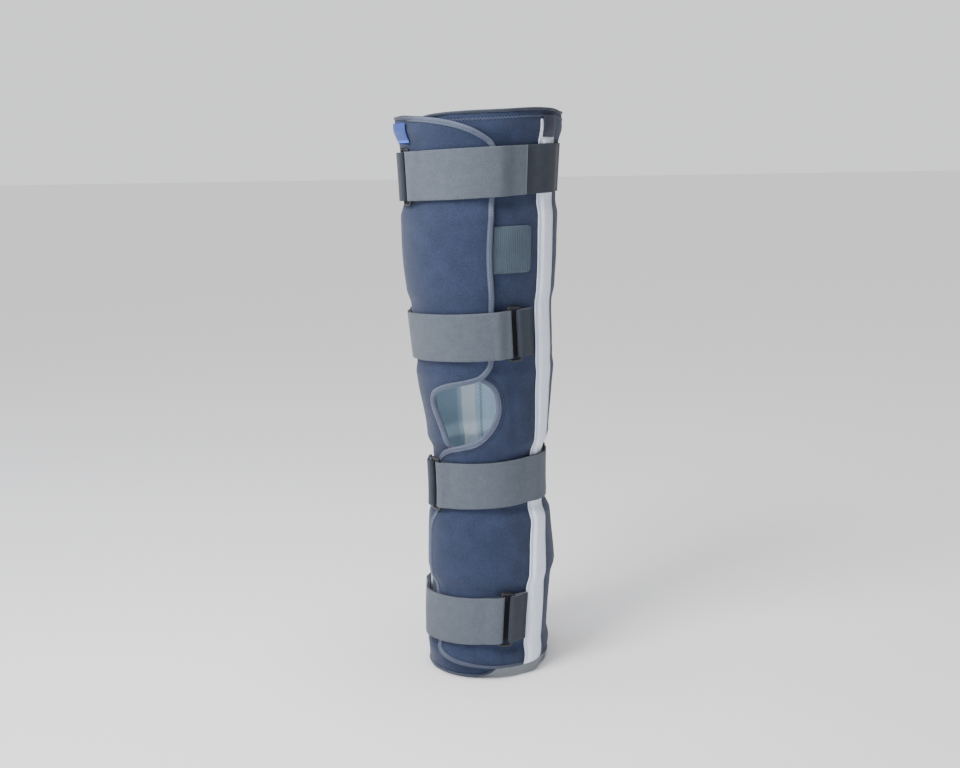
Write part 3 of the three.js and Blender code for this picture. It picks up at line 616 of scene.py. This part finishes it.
# The binding: a thin tape folded over the edge
def makeBinding(t):
    # section on the flat, as inset and distance out: over the crown, round the edge and back inside
    along = np.linspace(1, -1, t["points"])
    lineIn = t["width"] * np.abs(along) ** 1.25
    reach = np.clip(1 - np.abs(np.abs(along) - 0.5) / 0.5, 0, 1)
    flat = (leg["pad"] / 2 - t["thickness"]) * np.minimum(1, np.abs(along) * 3.2) ** 0.8
    crown = (t["thickness"] + t["proud"]) * np.sin(np.pi / 2 * reach) ** 0.9
    line = np.stack([lineIn, np.sign(along) * (flat + crown)], 1)
    ahead = unit(np.gradient(line, axis=0))
    within = line + np.stack([ahead[:, 1], -ahead[:, 0]], 1) * -t["thickness"]
    section = np.concatenate([line, within[::-1]])
    length = np.arange(len(loop)) * t["step"]
    share = tapeShare(loop[:, 0], loop[:, 1])
    points = []
    for inset, out in section:
        at = insetLoop(loop, inset * share)
        ripple = 0.10 * np.sin(length * 2 * np.pi / 3.1 + 1.3 * np.sin(length / 17)) * (1 - abs(out) / 6)
        slack = 0.30 * noise(length / 7, length * 0 + out * 0.4, 21)
        loose = (ripple + slack) * np.sign(out) * 0.8
        points.append(wrapPoint(at[:, 0], at[:, 1], out - leg["pad"] / 2 + loose))
    points = np.stack(points, 1)
    rows, around = points.shape[:2]
    faces = gridFaces(rows, around, closeRows=True, closeColumns=True)
    v = np.cumsum(np.concatenate([[0], np.hypot(*np.diff(section, axis=0).T)]))
    uv = np.stack(np.broadcast_arrays(length[:, None], v[None, :]), -1) / 1000
    ob = addMesh("edgeBinding", points, faces, tapeMaterial, ["edge_binding"], uv)
    # painted darker along both hems, where the photo shows them in shade
    topShade = t["topShade"] * blend(loop[:, 1], (580, 590)) * (1 - blend(loop[:, 0], (325, 350)))
    bottomShade = t["bottomShade"] * (1 - blend(loop[:, 1], (10, 30)))
    addTint(ob, np.repeat(1 - topShade - bottomShade, around))


makeBinding(tape)
print("binding done")

# Stay pockets: height share, angle of the middle on the right side and on the left
pocketLine = [
    [0.0, 67.5, 84], [0.04, 69, 84], [0.1, 69.5, 84], [0.155, 68, 85], [0.227, 71.5, 86], [0.29, 76.5, 87],
    [0.39, 81, 87], [0.445, 82, 86], [0.52, 81, 85], [0.685, 80.5, 85], [0.773, 80, 85], [0.85, 79.5, 85],
    [1.0, 78.5, 84],
]
pocket = {
    "width": 22.0, "fringe": 4.0, "crown": 3.5, "edge": 1.2, "top": 570.0, "fringeTop": 588.0, "bottom": 9.0,
    "rows": 420, "crownColumns": 21, "edgeColumns": 5,
}
flap = {"thickness": 2.4, "top": 592.0, "rows": 26, "columns": 17}


def pocketAngle(z, side):
    # angle of a pocket's middle, measured from the front towards its own side
    return curveThrough(pocketLine, np.asarray(z) / leg["length"], 1 if side > 0 else 2)


# Straps
standOffAngle, standOffSpread = -67, 20


def strapRest(s, a):
    # how far out a strap's middle lies: over the wrap, its climbing layer and the pocket, plus stand-off
    z = s["middle"] * leg["length"]
    lift = layerStep * blend(a, s["rise"]) * (1 - blend(a, s["fall"]))
    side = np.sign(a) + (np.asarray(a) == 0)
    middle = np.where(side > 0, pocketAngle(z, 1), pocketAngle(z, -1))
    away = np.abs(np.abs(a) - middle) / degreesFor(1, z)
    slope = (pocket["width"] * 0.25, pocket["width"] / 2 + pocket["fringe"] + 8)
    over = (overGap + pocket["crown"]) * (1 - blend(away, slope))
    off = s["standOff"] * np.exp(-(((np.asarray(a) - standOffAngle) / standOffSpread) ** 2))
    return overGap + strapThickness / 2 + lift + over + off


ringSize = {"pitch": 13.0, "ease": 1.5, "barWidth": 3.2, "barDepth": 2.4, "corner": 3.0, "wrapGap": 0.75}
foldRadius = ringSize["barDepth"] / 2 + ringSize["wrapGap"] + strapThickness / 2


def perDegreeAt(a, z, out):
    # mm for each degree, from a chord of one degree
    return np.linalg.norm(legPoint(a - 0.5, z, out) - legPoint(a + 0.5, z, out), axis=-1)


def ringBars(s):
    # angle and distance out of a ring's two bars, the strap's first
    z = s["middle"] * leg["length"]
    per = perDegreeAt(s["ring"], z, strapRest(s, s["ring"]) + foldRadius)
    half = ringSize["pitch"] / 2 / per * np.sign(s["ring"] - s["sewn"])
    return [(s["ring"] + k * half, strapRest(s, s["ring"] + k * half) + foldRadius) for k in (-1, 1)]


def foldedPath(s, start, bar, finish):
    # in along the rest line, half a turn round the bar, and back out one thickness further from the leg
    angle, out = bar
    away = np.sign(start - angle)
    per = perDegreeAt(angle, s["middle"] * leg["length"], out)
    ease, stepAngle, lead = 14.0, 1.4, 2
    steps = lambda a, b: np.linspace(a, b, max(3, int(abs(b - a) / stepAngle)))
    inward = steps(start, angle + lead * away)
    turn = np.linspace(-np.pi / 2, np.pi / 2, 17)
    fold = np.stack([angle - away * foldRadius * np.cos(turn) / per, out + foldRadius * np.sin(turn)], 1)
    outward = steps(angle + lead * away, finish)
    if abs(finish - angle) < ease:
        share = np.abs((outward - angle) / (finish - angle))
        height = 2 * foldRadius + (strapThickness + seamGap - 2 * foldRadius) * blend(share, (0.1, 1))
        back = strapRest(s, outward) + height
    else:
        near = 1 - blend(np.abs(outward - angle), (lead, ease))
        settled = strapRest(s, outward) + strapThickness + seamGap
        back = settled + (2 * foldRadius - strapThickness - seamGap) * near
    return np.concatenate([
        np.stack([inward, strapRest(s, inward)], 1), fold, np.stack([outward, back], 1),
    ])


def strapFrame(s, path):
    # along the path: mm for each degree, and the unit direction of travel in the plane of angle and distance
    per = perDegreeAt(path[:, 0], s["middle"] * leg["length"], path[:, 1])
    ahead = np.gradient(path, axis=0)
    return per, unit(np.stack([ahead[:, 0] * per, ahead[:, 1]], 1))


def strapPoint(s, path, per, along, v, reach):
    # v across the width and reach through the thickness, both in mm
    angle = path[:, 0] - along[:, 1] * reach / per
    distance = path[:, 1] + along[:, 0] * reach
    return legPoint(angle, strapMiddle(s, angle) + v, distance)


def makeWebbing(name, s, path, replaced, seed, backOut=False):
    # a flat section with round edges carried along the path; the edges wander a little
    per, along = strapFrame(s, path)
    half, edge, columns = strapWidth / 2, strapThickness / 2, 19
    across = np.linspace(-half + edge, half - edge, columns)
    bend = np.linspace(-np.pi / 2, np.pi / 2, 7)[1:-1]
    crown = edge * np.cos(bend)
    v = np.concatenate([across, half - edge + crown, across[::-1], -half + edge - crown])
    inside, outside = np.full(columns, -edge), np.full(columns, edge)
    r = np.concatenate([inside, edge * np.sin(bend), outside, edge * np.sin(-bend)])
    arc = np.diff(path[:, 0]) * (per[1:] + per[:-1]) / 2
    run = np.concatenate([[0], np.cumsum(np.hypot(arc, np.diff(path[:, 1])))])
    points = []
    for vk, rk in zip(v, r):
        wave = 0.35 * (abs(vk) / half) ** 3 * noise(run / 14, run * 0 + (vk > 0) * 5.0, seed)
        points.append(strapPoint(s, path, per, along, vk + wave * np.sign(vk) * 0.5, rk))
    points = np.stack(points, 1)
    uv = np.stack(np.broadcast_arrays(run[:, None], (v + np.where(r > 0, 60, 0))[None, :]), -1) / 1000
    faces = tubeFaces(*points.shape[:2])
    # the pile is on the side that faces out once the strap has turned back
    pileSide = np.sign(path[0, 0] - path[len(path) // 2, 0])
    shown = np.tile(r * pileSide < 0.1, len(path) - 1)
    side = np.concatenate([~shown if backOut else shown, np.zeros(len(faces) - (len(path) - 1) * len(v))])
    addMesh(name, points, faces, [webbingMaterial, webbingBackMaterial], replaced, uv, side)


def makeRing(name, s, replaced):
    # a rounded bar carried round a rounded rectangle
    z = strapMiddle(s, s["ring"])
    (near, nearOut), (far, farOut) = ringBars(s)
    a, b = legPoint(near, z, nearOut), legPoint(far, z, farOut)
    foot, head = [legPoint(s["ring"], z + k * strapWidth / 2, farOut) for k in (-1, 1)]
    up = unit(head - foot)
    outward = unit(np.cross(b - a, up))
    across = np.cross(up, outward)
    w, h = ringSize["pitch"] / 2, strapWidth / 2 + ringSize["ease"] + ringSize["barWidth"] / 2
    c = ringSize["corner"]
    quarter = np.linspace(0, np.pi / 2, 9)
    path, normal = [], []
    for k, (sx, sy) in enumerate(((1, 1), (-1, 1), (-1, -1), (1, -1))):
        turn = quarter + k * np.pi / 2
        normal.append(np.stack([np.cos(turn), np.sin(turn)], 1))
        path.append(c * normal[-1] + [sx * (w - c), sy * (h - c)])
    path, normal = np.concatenate(path), np.concatenate(normal)
    t = np.linspace(0, 2 * np.pi, 17)[:-1]
    power = lambda q: np.sign(q) * np.abs(q) ** 0.75
    su, sv = ringSize["barWidth"] / 2 * power(np.cos(t)), ringSize["barDepth"] / 2 * power(np.sin(t))
    flat = path[:, None, :] + normal[:, None, :] * su[None, :, None]
    points = (a + b) / 2 + flat[..., 0:1] * across + flat[..., 1:2] * up + sv[None, :, None] * outward
    faces = gridFaces(*points.shape[:2], closeRows=True, closeColumns=True)
    addMesh(name, points, faces, ringMaterial, replaced)


for n, (name, s) in enumerate(straps.items()):
    near, far = ringBars(s)
    part = name.replace("_", " ").title().replace(" ", "")
    part = part[0].lower() + part[1:]
    makeWebbing(part + "Strap", s, foldedPath(s, s["sewn"], near, s["end"]), [name + "_strap"], 50 + n)
    tabPath = foldedPath(dict(s, standOff=0), s["tabEnd"], far, s["tabEnd"])
    makeWebbing(part + "Tab", s, tabPath, [name + "_tab"], 60 + n, backOut=True)
    makeRing(part + "Ring", s, [name + "_ring"])
print("straps, tabs and rings done")


# Strips that lie on the wrap or on its lining
def makeStrip(name, zs, across, thickness, middle, base, facing, material, replaced, relief=0):
    # across and thickness are rows of the same shape as the grid, in mm; facing 1 is outside, -1 the lining
    z = zs[:, None] * np.ones_like(across)
    u = middle(z) + degreesFor(across, z)
    lift = base + thickness + relief
    addSlab(name, u, z, (facing * lift, facing * base), across, material, replaced)


def makePocket(side, label):
    # a strip along the leg: a flat sewn edge, then a crown over the stay, with puckers along the seams
    middle = lambda z: (0 if side > 0 else 360) + side * pocketAngle(z, side)
    p = pocket
    zs = np.linspace(p["bottom"], p["fringeTop"], p["rows"])[:, None]
    half = p["width"] / 2
    v = np.linspace(-1, 1, p["crownColumns"])
    crownAcross = np.sign(v) * (1 - (1 - np.abs(v)) ** 1.15) * half
    fringeAcross = np.linspace(-half - p["fringe"], -half - 0.25, p["edgeColumns"])
    across = np.concatenate([fringeAcross, crownAcross])[None, :] * side * np.ones_like(zs)
    vv = np.concatenate([np.full(p["edgeColumns"], 2.0), crownAcross / half])[None, :] * np.ones_like(zs)
    onEdge = np.abs(vv) > 1.5
    # a flat face over the stay, then a slope down to the far seam
    profile = blend(vv, (-1.05, -0.72)) * (1 - 0.92 * blend(vv, (0.0, 1.05)))
    crown = p["edge"] + (p["crown"] - p["edge"]) * profile
    fringeT = p["edge"] * (0.55 + 0.25 * np.sin(np.pi * np.clip((np.abs(across) - half) / p["fringe"], 0, 1)))
    thickness = np.where(onEdge, fringeT, crown)
    topEnd = np.where(onEdge, p["fringeTop"], p["top"])
    z = p["bottom"] + (zs - p["bottom"]) * (topEnd - p["bottom"]) / (p["fringeTop"] - p["bottom"])
    thickness = thickness * (0.45 + 0.55 * blend(topEnd - z, (0, 7)) * blend(z - p["bottom"], (0, 5)))
    atSeam = np.exp(-(((np.abs(vv) - 0.93) / 0.12) ** 2))
    pucker = 0.14 * np.sin(z * 2 * np.pi / 3.6 + 2 * noise(z / 40, z * 0, 4)) * atSeam
    thickness = thickness + pucker + 0.12 * noise(across / 8, z / 26, 8)
    u = middle(z) + degreesFor(across, z)
    ob = addSlab(label + "StayPocket", u, z, (overGap + thickness, overGap), across, satinMaterial,
                 [label + "_stay_pocket"])

    # the dark flap over the pocket's upper end, thickest in its middle
    zs = np.linspace(p["top"] + seamGap, flap["top"], flap["rows"])
    across = (np.linspace(-1, 1, flap["columns"]) * half)[None, :] * side * np.ones((len(zs), 1))
    rowShare = ((zs - zs[0]) / (zs[-1] - zs[0]))[:, None]
    acrossBulge = np.clip(1 - np.abs(across / half) ** 3, 0, 1) ** 0.7
    upBulge = 0.5 + 0.5 * np.sin(np.pi * np.clip(rowShare * 1.1, 0, 1))
    bulge = flap["thickness"] * (0.45 + 0.55 * acrossBulge * upBulge)
    relief = 0.12 * noise(across / 5, zs[:, None] / 6, 12)
    makeStrip(label + "PocketFlap", zs, across, bulge, middle, overGap, 1, flapMaterial,
              [label + "_pocket_flap"], relief)


makePocket(1, "right")
makePocket(-1, "left")

channel = {
    "width": 20.0, "crown": 3.0, "edge": 0.8, "margin": 22.0, "lift": 0.2,
    "angles": {"left": 225, "right": 135},
}


def makeChannel(p, label, angle):
    # a rounded ridge down the lining, over a stay
    zs = np.linspace(p["margin"], leg["length"] - p["margin"], 300)
    v = np.linspace(-1, 1, 17)
    across = (v * p["width"] / 2)[None, :] * np.ones((len(zs), 1))
    rounded = (1 - (v * v)[None, :] ** 1.3) * np.ones_like(across)
    thickness = p["edge"] + (p["crown"] - p["edge"]) * rounded
    makeStrip(label + "InnerChannel", zs, across, thickness, lambda z: angle + z * 0,
              leg["pad"] + seamGap + p["lift"], -1, paintedLitChannelMaterial, [label + "_inner_channel"])


for label, angle in channel["angles"].items():
    makeChannel(channel, label, angle)
print("pockets, flaps and channels done")

patch = {
    "thickness": 1.4, "low": 434.0, "height": 48.0, "end": 62.5, "corner": 5.0, "rib": 2.1, "ribDepth": 0.22,
}


def makePatch(p):
    # s runs from beside the flap's edge to the patch's end, which is rounded at both corners
    zs = p["low"] + p["height"] * np.linspace(0, 1, 61)[:, None]
    fromEnd = np.minimum(zs - p["low"], p["low"] + p["height"] - zs)
    sink = np.maximum(p["corner"] - fromEnd, 0)
    reach = p["end"] - degreesFor(p["corner"] - np.sqrt(np.maximum(p["corner"] ** 2 - sink ** 2, 0)), zs)
    start = curveThrough(leftEdge, zs / leg["length"]) - 360 + degreesFor(1.0, zs)
    s = np.linspace(0, 1, 150)[None, :]
    u = start + (reach - start) * s
    z = zs * np.ones_like(u)
    x = (p["end"] - u) / degreesFor(1, z)
    edge = np.minimum.reduce([x, (u - start) / degreesFor(1, z) + 2, fromEnd * np.ones_like(u)])
    rib = p["ribDepth"] * np.abs(np.sin(np.pi * x / p["rib"])) * blend(edge, (1.0, 2.2))
    thick = p["thickness"] * (0.55 + 0.45 * blend(edge, (0, 1.2)))
    outs = (overGap + thick - p["ribDepth"] + rib, overGap)
    addSlab("gripPatch", u, z, outs, x, patchMaterial, ["grip_patch"])


makePatch(patch)

sideLabel = {
    "thickness": 0.7, "low": 567.0, "height": 20.0, "start": 297.0, "end": 331.0, "lift": 1.6, "stripe": 2.4,
}


def makeLabel(p):
    # a thin strip whose right end lifts off the wrap
    zs = p["low"] + p["height"] * np.linspace(0, 1, 25)[:, None]
    s = np.linspace(0, 1, 41)[None, :]
    u = p["start"] + (p["end"] - p["start"]) * s + zs * 0
    z = zs + s * 0
    curl = p["lift"] * blend(s, (0.7, 1)) * (1 - 0.3 * (z - p["low"]) / p["height"])
    out = seamGap + 0.25 + curl + 0.08 * noise(s * 6, z / 5, 17)
    outs = (out + p["thickness"], out)
    ob = addSlab("sideLabel", u, z, outs, u, labelMaterial, ["side_label"])
    selvage = 1 + p["stripe"] * (1 - blend(z - p["low"], (2.2, 2.8)))  # pale stripe along the lower edge
    addTint(ob, np.concatenate([selvage.ravel(), selvage.ravel()]))


makeLabel(sideLabel)
print("patch and label done")


# Stitches: each is a short thread, thickest in its middle, that stands up from the cloth
thread = {"radius": 0.28, "arch": 0.22, "stations": 5, "sides": 5}  # the tips below are drawn for five sides
tapeRow = {"inset": 4.6, "out": 0.38, "pitch": 3.0, "length": 2.3}
kneeRow = {"inset": tape["width"] + 2.6, "out": -0.3, "pitch": 3.0, "length": 2.5}
hemRow = {"start": -20, "end": 118, "step": 1.15, "below": 9.0, "width": 2.2}
channelRow = {"angle": 211.5, "start": 32, "end": 570, "step": 2.2, "width": 3.6, "lift": 0.45}
pocketRow = {"start": 14, "end": 566, "pitch": 2.9, "length": 2.1}
tabRow = {"offsets": (2.0, 4.2), "start": -22, "end": 21, "pitch": 3.0, "length": 2.2, "lift": 0.1}


def makeStitches(name, starts, ends, facing, material, slot, radius=1.0):
    # starts and ends are rows of [angle, height, out]; a stitch is a thin tube along start + (end - start) t,
    # bowed out
    a, b = wrapPoint(*starts.T), wrapPoint(*ends.T)
    lift = unit(wrapPoint(starts[:, 0], starts[:, 1], starts[:, 2] + facing) - a)
    side = unit(np.cross(unit(b - a), lift))
    t = np.linspace(0, 1, thread["stations"])
    k = np.linspace(0, 2 * np.pi, thread["sides"] + 1)[:-1]
    fat = thread["radius"] * radius * (0.4 + 0.6 * np.sqrt(np.sin(np.pi * t)))
    bow = thread["arch"] * np.sin(np.pi * t)
    middle = a[:, None] + (b - a)[:, None] * t[None, :, None] + lift[:, None] * bow[None, :, None]
    around = side[:, None, None] * np.cos(k)[:, None] + lift[:, None, None] * np.sin(k)[:, None]
    points = middle[:, :, None] + around * fat[None, :, None, None]
    size = thread["stations"] * thread["sides"]
    each = lambda faces: (faces[None] + (np.arange(len(a)) * size)[:, None, None]).reshape(-1, faces.shape[1])
    sides = gridFaces(thread["stations"], thread["sides"], closeColumns=True)
    caps = np.array([[3, 2, 1, 0], [size - 5, size - 4, size - 3, size - 2]])
    tips = np.array([[4, 3, 0], [size - 5, size - 2, size - 1]])
    quads = np.concatenate([each(sides), each(caps)])
    triangles = np.concatenate([quads[:, [0, 1, 2]], quads[:, [0, 2, 3]], each(tips)])
    addMesh(name, points, triangles, material)


def alongLoop(keep, inset, out, pitch, length):
    # straight stitches beside the free edge, without those that would jump back along it
    at = insetLoop(loop, inset)
    run = np.arange(len(loop)) * tape["step"]
    starts = np.arange(0, run[-1], pitch)
    row = lambda s: np.stack([*[np.interp(s, run, at[:, c]) for c in (0, 1)], np.full(len(s), out)], 1)
    a, b = row(starts), row(starts + length)
    perDegree = 1.4
    kept = keep(a[:, 0], a[:, 1]) & (np.hypot(*((a - b) * [perDegree, 1, 0])[:, :2].T) < 3 * length)
    return a[kept], b[kept]


def zigzag(us, zs, width, out, upright):
    # joined stitches that step to and fro across a line of [angle, height]
    swing = (np.arange(len(us)) % 2 - 0.5) * width
    u = us + (degreesFor(swing, zs) if upright else 0)
    z = zs + (0 if upright else swing)
    line = np.stack([u, z, np.full(len(u), out)], 1)
    return line[:-1], line[1:]


def joined(rows):
    return [np.concatenate(part) for part in zip(*rows)]


def pocketStitches(p):
    # a row on the sewn edge and a row beside the far seam, on both pockets
    rows, half = [], pocket["width"] / 2
    z = np.arange(p["start"], p["end"], p["pitch"])
    for side, base in ((1, 0), (-1, 360)):
        for across, out in ((-half - 2.0, overGap + 1.05), (half - 1.3, overGap + 1.9)):
            place = lambda z: base + side * (pocketAngle(z, side) + degreesFor(across, z))
            rows.append([np.stack([place(z + d), z + d, np.full(len(z), out)], 1) for d in (0, p["length"])])
    return joined(rows)


def tabStitches(p):
    # two rows across each tab, near its sewn end
    rows = []
    v = np.arange(p["start"], p["end"], p["pitch"])
    for s in straps.values():
        toRing = np.sign(s["ring"] - s["tabEnd"])
        for offset in p["offsets"]:
            a = s["tabEnd"] + toRing * offset / perDegreeAt(s["tabEnd"], s["middle"] * leg["length"], 5)
            out = strapRest(dict(s, standOff=0), a) + strapThickness * 1.5 + seamGap + p["lift"]
            z = strapMiddle(s, a) + v
            out = out - layerRise(a, z)
            rows.append([np.stack([np.full(len(v), a), z + e, out + 0 * v], 1) for e in (0, p["length"])])
    return joined(rows)


tapeLine = alongLoop(lambda u, z: (z > 20) & ((z < 585) | (u > 330)), **tapeRow)
makeStitches("bindingStitches", *tapeLine, 1, paleThread, "binding_tape", 0.8)
kneeLine = alongLoop(lambda u, z: (z > 243) & (z < 326) & (u > -14) & (u < 60), **kneeRow)
makeStitches("kneeStitches", *kneeLine, 1, darkThread, "binding_tape", 1.6)
hemU = np.arange(hemRow["start"], hemRow["end"], hemRow["step"])
hemZ = curveThrough(topHem, hemU) * leg["length"] - hemRow["below"]
hemLine = zigzag(hemU, hemZ, hemRow["width"], 0.0, False)
makeStitches("hemStitches", *hemLine, 1, hemThread, "binding_tape", 0.75)
channelZ = np.arange(channelRow["start"], channelRow["end"], channelRow["step"])
channelU = np.full(len(channelZ), channelRow["angle"])
channelLine = zigzag(channelU, channelZ, channelRow["width"], -leg["pad"] - channelRow["lift"], True)
makeStitches("channelStitches", *channelLine, -1, liningThread, "lining")
makeStitches("pocketStitches", *pocketStitches(pocketRow), 1, paleThread, "pocket_satin", 0.75)
makeStitches("tabStitches", *tabStitches(tabRow), 1, darkThread, "webbing")
print("stitches done")

# Stage: pale floor and soft light; the world looks brighter than the light that it gives
studio = {
    "floor": "f4f4f6", "reach": 30, "worldLight": 0.14, "worldSeen": 1.15, "worldColour": (0.98, 0.99, 1, 1),
}
sun = {"strength": 2.9, "angle": 40}
areaLights = {
    "key": dict(azimuth=-20, height=1.25, distance=0.85, size=(0.5, 0.6), power=21, colour=(1.0, 0.99, 0.97)),
    "front": dict(azimuth=12, height=0.42, distance=2.0, size=(0.5, 0.5), power=8, colour=(0.97, 0.98, 1.0)),
    "left": dict(azimuth=-80, height=0.95, distance=2.0, size=(0.6, 1.2), power=8, colour=(0.72, 0.82, 1.0)),
}


def makeStage(p):
    mesh = bpy.data.meshes.new("floor")
    r = p["reach"]
    mesh.from_pydata([(-r, -r, 0), (r, -r, 0), (r, r, 0), (-r, r, 0)], [], [(0, 1, 2, 3)])
    m, _, shader = newMaterial("paperWhite")
    shader.inputs["Base Color"].default_value = linear(p["floor"])
    shader.inputs["Roughness"].default_value = 1.0
    shader.inputs["Specular IOR Level"].default_value = 0.0
    mesh.materials.append(m)
    ob = bpy.data.objects.new("floor", mesh)
    bpy.context.scene.collection.objects.link(ob)
    world = bpy.data.worlds.new("studio")
    bpy.context.scene.world = world
    world.use_nodes = True
    tree = world.node_tree
    seen = node(tree, "ShaderNodeLightPath").outputs["Is Camera Ray"]
    strengths = {"To Min": p["worldLight"], "To Max": p["worldSeen"]}
    strength = node(tree, "ShaderNodeMapRange", strengths, Value=seen)
    tree.links.new(tree.nodes["Background"].inputs["Strength"], strength.outputs["Result"])
    tree.nodes["Background"].inputs["Color"].default_value = p["worldColour"]


def areaLight(name, azimuth, height, distance, size, power, colour):
    # azimuth as in the camera's: 0 in front, positive to the right; lengths in m, aimed at the middle
    data = bpy.data.lights.new(name, "AREA")
    data.shape, data.size, data.size_y, data.energy, data.color = "RECTANGLE", size[0], size[1], power, colour
    ob = bpy.data.objects.new(name, data)
    ob.visible_camera = False
    bpy.context.scene.collection.objects.link(ob)
    a = np.radians(azimuth)
    ob.location = (np.sin(a) * distance, -np.cos(a) * distance, height)
    ob.rotation_euler = (Vector((0, 0, 0.3)) - ob.location).to_track_quat("-Z", "Y").to_euler()


def overhead(p):
    data = bpy.data.lights.new("overhead", "SUN")
    data.energy, data.angle = p["strength"], np.radians(p["angle"])
    ob = bpy.data.objects.new("overhead", data)
    bpy.context.scene.collection.objects.link(ob)
    ob.location = (0, 0, 3)


makeStage(studio)
overhead(sun)
for name, light in areaLights.items():
    areaLight(name, **light)
print("stage done")
